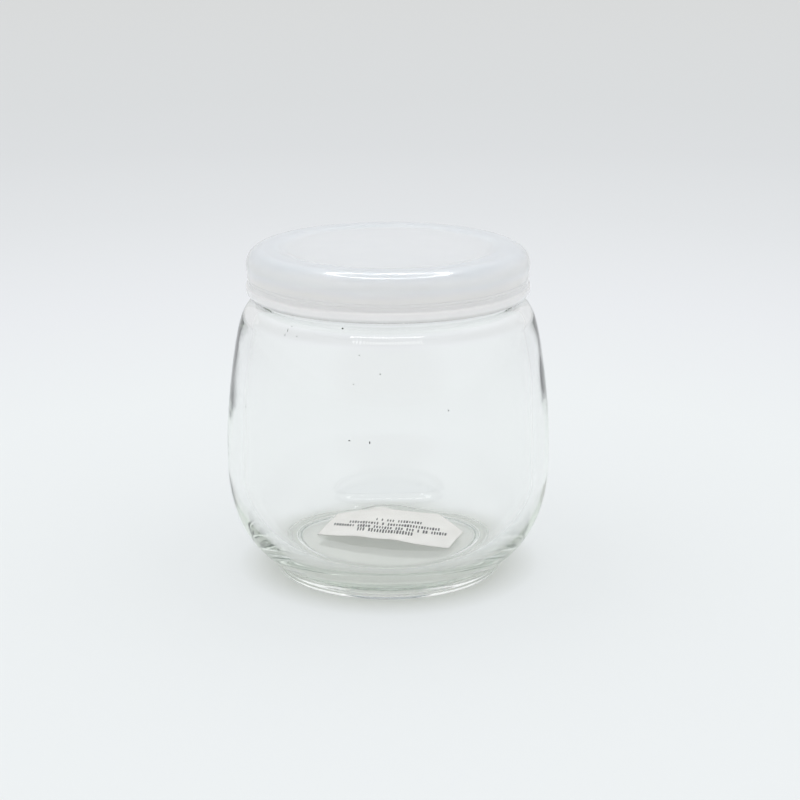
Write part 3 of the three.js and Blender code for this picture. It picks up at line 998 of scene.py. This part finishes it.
# %% Ring of lamps overhead
RING_CENTRE = Vector((0, 0.06, 0.36))
RING_RADIUS = 0.118
RING_LAMPS, RING_POWER = 40, 0.0163
RING_LAMP_WIDE, RING_LAMP_DEEP = 0.012, 0.018


def small_lamp(name, place, turn, wide, deep, power):
    lamp = bpy.data.lights.new(name, "AREA")
    lamp.shape = "RECTANGLE"
    lamp.size, lamp.size_y = wide, deep
    lamp.energy = power
    holder = bpy.data.objects.new(name, lamp)
    holder.location = place
    holder.rotation_euler = (0, 0, turn)
    holder.visible_diffuse = False
    holder.visible_camera = False
    bpy.context.collection.objects.link(holder)
    return holder


for number in range(RING_LAMPS):
    turn = math.tau * number / RING_LAMPS
    place = RING_CENTRE + RING_RADIUS * Vector((math.cos(turn), math.sin(turn), 0))
    small_lamp(f"ring_lamp_{number}", place, turn, RING_LAMP_WIDE, RING_LAMP_DEEP, RING_POWER)
print("the ring has", RING_LAMPS, "lamps")

# %% [markdown]
# A second row of small lamps stands over the viewer's side, on a wide arc. It draws the dotted
# line on the glass shoulder. It is linked to the jar only, so the lid keeps one clean line.

# %% Row of lamps over the shoulder
ROW_CENTRE = Vector((0, 0.130, 0.346))
ROW_RADIUS, ROW_LAMPS, ROW_STEP = 0.304, 24, math.radians(2.0)
ROW_LAMP_WIDE, ROW_LAMP_DEEP, ROW_POWER = 0.005, 0.025, 0.0072
row_receiver = bpy.data.collections.new("shoulder_row_receiver")
row_receiver.objects.link(jar_piece)
for number in range(ROW_LAMPS):
    turn = (number - (ROW_LAMPS - 1) / 2) * ROW_STEP
    place = ROW_CENTRE + ROW_RADIUS * Vector((math.sin(turn), -math.cos(turn), 0))
    holder = small_lamp(f"row_lamp_{number}", place, turn, ROW_LAMP_WIDE, ROW_LAMP_DEEP, ROW_POWER)
    holder.light_linking.receiver_collection = row_receiver
print("the row has", ROW_LAMPS, "lamps")

# %% [markdown]
# The light box's overhead light passes the thin lid nearly straight and falls on the slip and on
# the table under the glass. A path tracer stops its shadow rays at plastic and glass, so this
# share of the light would be lost. A sun lamp with light linking gives it back: it lights only
# the table and the slip, and only the slip stops it.

# %% Light through the lid
SUN_SPREAD, SUN_TILT = math.radians(16), math.radians(-12)
TABLE_SUN, SLIP_SUN = 0.55, 1.1


def linked_sun(name, energy, lit_pieces, shading_pieces):
    sun = bpy.data.lights.new(name, "SUN")
    sun.energy = energy
    sun.angle = SUN_SPREAD
    holder = bpy.data.objects.new(name, sun)
    holder.rotation_euler = (SUN_TILT, 0, 0)
    bpy.context.collection.objects.link(holder)
    for role, members in (("receiver", lit_pieces), ("blocker", shading_pieces)):
        group = bpy.data.collections.new(f"{name}_{role}")
        for member in members:
            group.objects.link(member)
        setattr(holder.light_linking, f"{role}_collection", group)
    print(name, "falls on", ", ".join(piece.name for piece in lit_pieces))


linked_sun("light_on_table", TABLE_SUN, (floor,), (slip,))
linked_sun("light_on_slip", SLIP_SUN, (slip, bars), (slip,))

# %% [markdown]
# The lid's skirt faces the dimmer side of the room. One broad weak lamp in front, linked to the
# lid only, lifts it without a second picture of the lamp in the glass.

# %% Fill on the lid's side
FILL_WIDE, FILL_TALL, FILL_POWER = 0.8, 0.3, 0.86
FILL_PLACE = (0, -0.6, 0.1)
fill = bpy.data.lights.new("lid_fill", "AREA")
fill.shape = "RECTANGLE"
fill.size, fill.size_y = FILL_WIDE, FILL_TALL
fill.energy = FILL_POWER
fill_holder = bpy.data.objects.new("lid_fill", fill)
fill_holder.location = FILL_PLACE
fill_holder.rotation_euler = (math.pi / 2, 0, 0)
fill_holder.visible_camera = False
fill_holder.visible_glossy = False
fill_holder.visible_transmission = False
bpy.context.collection.objects.link(fill_holder)
filled = bpy.data.collections.new("lid_fill_receiver")
filled.objects.link(lid_piece)
fill_holder.light_linking.receiver_collection = filled
print("the fill is", FILL_WIDE, "by", FILL_TALL, "m")

# %% [markdown]
# ## The camera
# The camera stands 450 mm away and looks down about 16 degrees. Its place and lens come from the
# curves of the lid's rim and of the foot, which flatten with the camera's height and spread with
# its nearness. Clear glass needs many bounces, or its edges turn black.

# %% Camera
CAMERA_AWAY = 0.450
CAMERA_HEIGHT = 0.1702
CAMERA_SIDE = 0.00287
CAMERA_PITCH = math.radians(15.967)
PICTURE_SIDE = 800
FOCAL_PIXELS = 1910.5
SENSOR_WIDTH = 36
camera_data = bpy.data.cameras.new("camera")
camera_data.sensor_width = SENSOR_WIDTH
camera_data.lens = FOCAL_PIXELS / PICTURE_SIDE * SENSOR_WIDTH
camera = bpy.data.objects.new("camera", camera_data)
camera.location = (CAMERA_SIDE, -CAMERA_AWAY, CAMERA_HEIGHT)
camera.rotation_euler = (math.pi / 2 - CAMERA_PITCH, 0, 0)
bpy.context.collection.objects.link(camera)
bpy.context.scene.camera = camera

GLASS_BOUNCES, BRIGHT_LIMIT = 32, 4
scene = bpy.context.scene
scene.view_settings.view_transform = "Standard"
scene.cycles.max_bounces = GLASS_BOUNCES
scene.cycles.transmission_bounces = GLASS_BOUNCES
scene.cycles.glossy_bounces = GLASS_BOUNCES
scene.cycles.sample_clamp_indirect = BRIGHT_LIMIT
print("the lens is", round(camera_data.lens, 1), "mm")

# %% [markdown]
# ## Handing the pieces to the frame
# Each fine piece stands for its faceted node, which is hidden, and rides with the one
# body that the part has.

# %% Join the frame
for piece, node, slot in ((jar_piece, "jar", "glass"), (lid_piece, "lid", "lid_plastic"),
                          (slip, "label", "label_paper")):
    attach(piece, "root")
    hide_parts(node)
for piece, slot in ((bars, "label_paper"), (seeds, "glass")):
    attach(piece, "root")
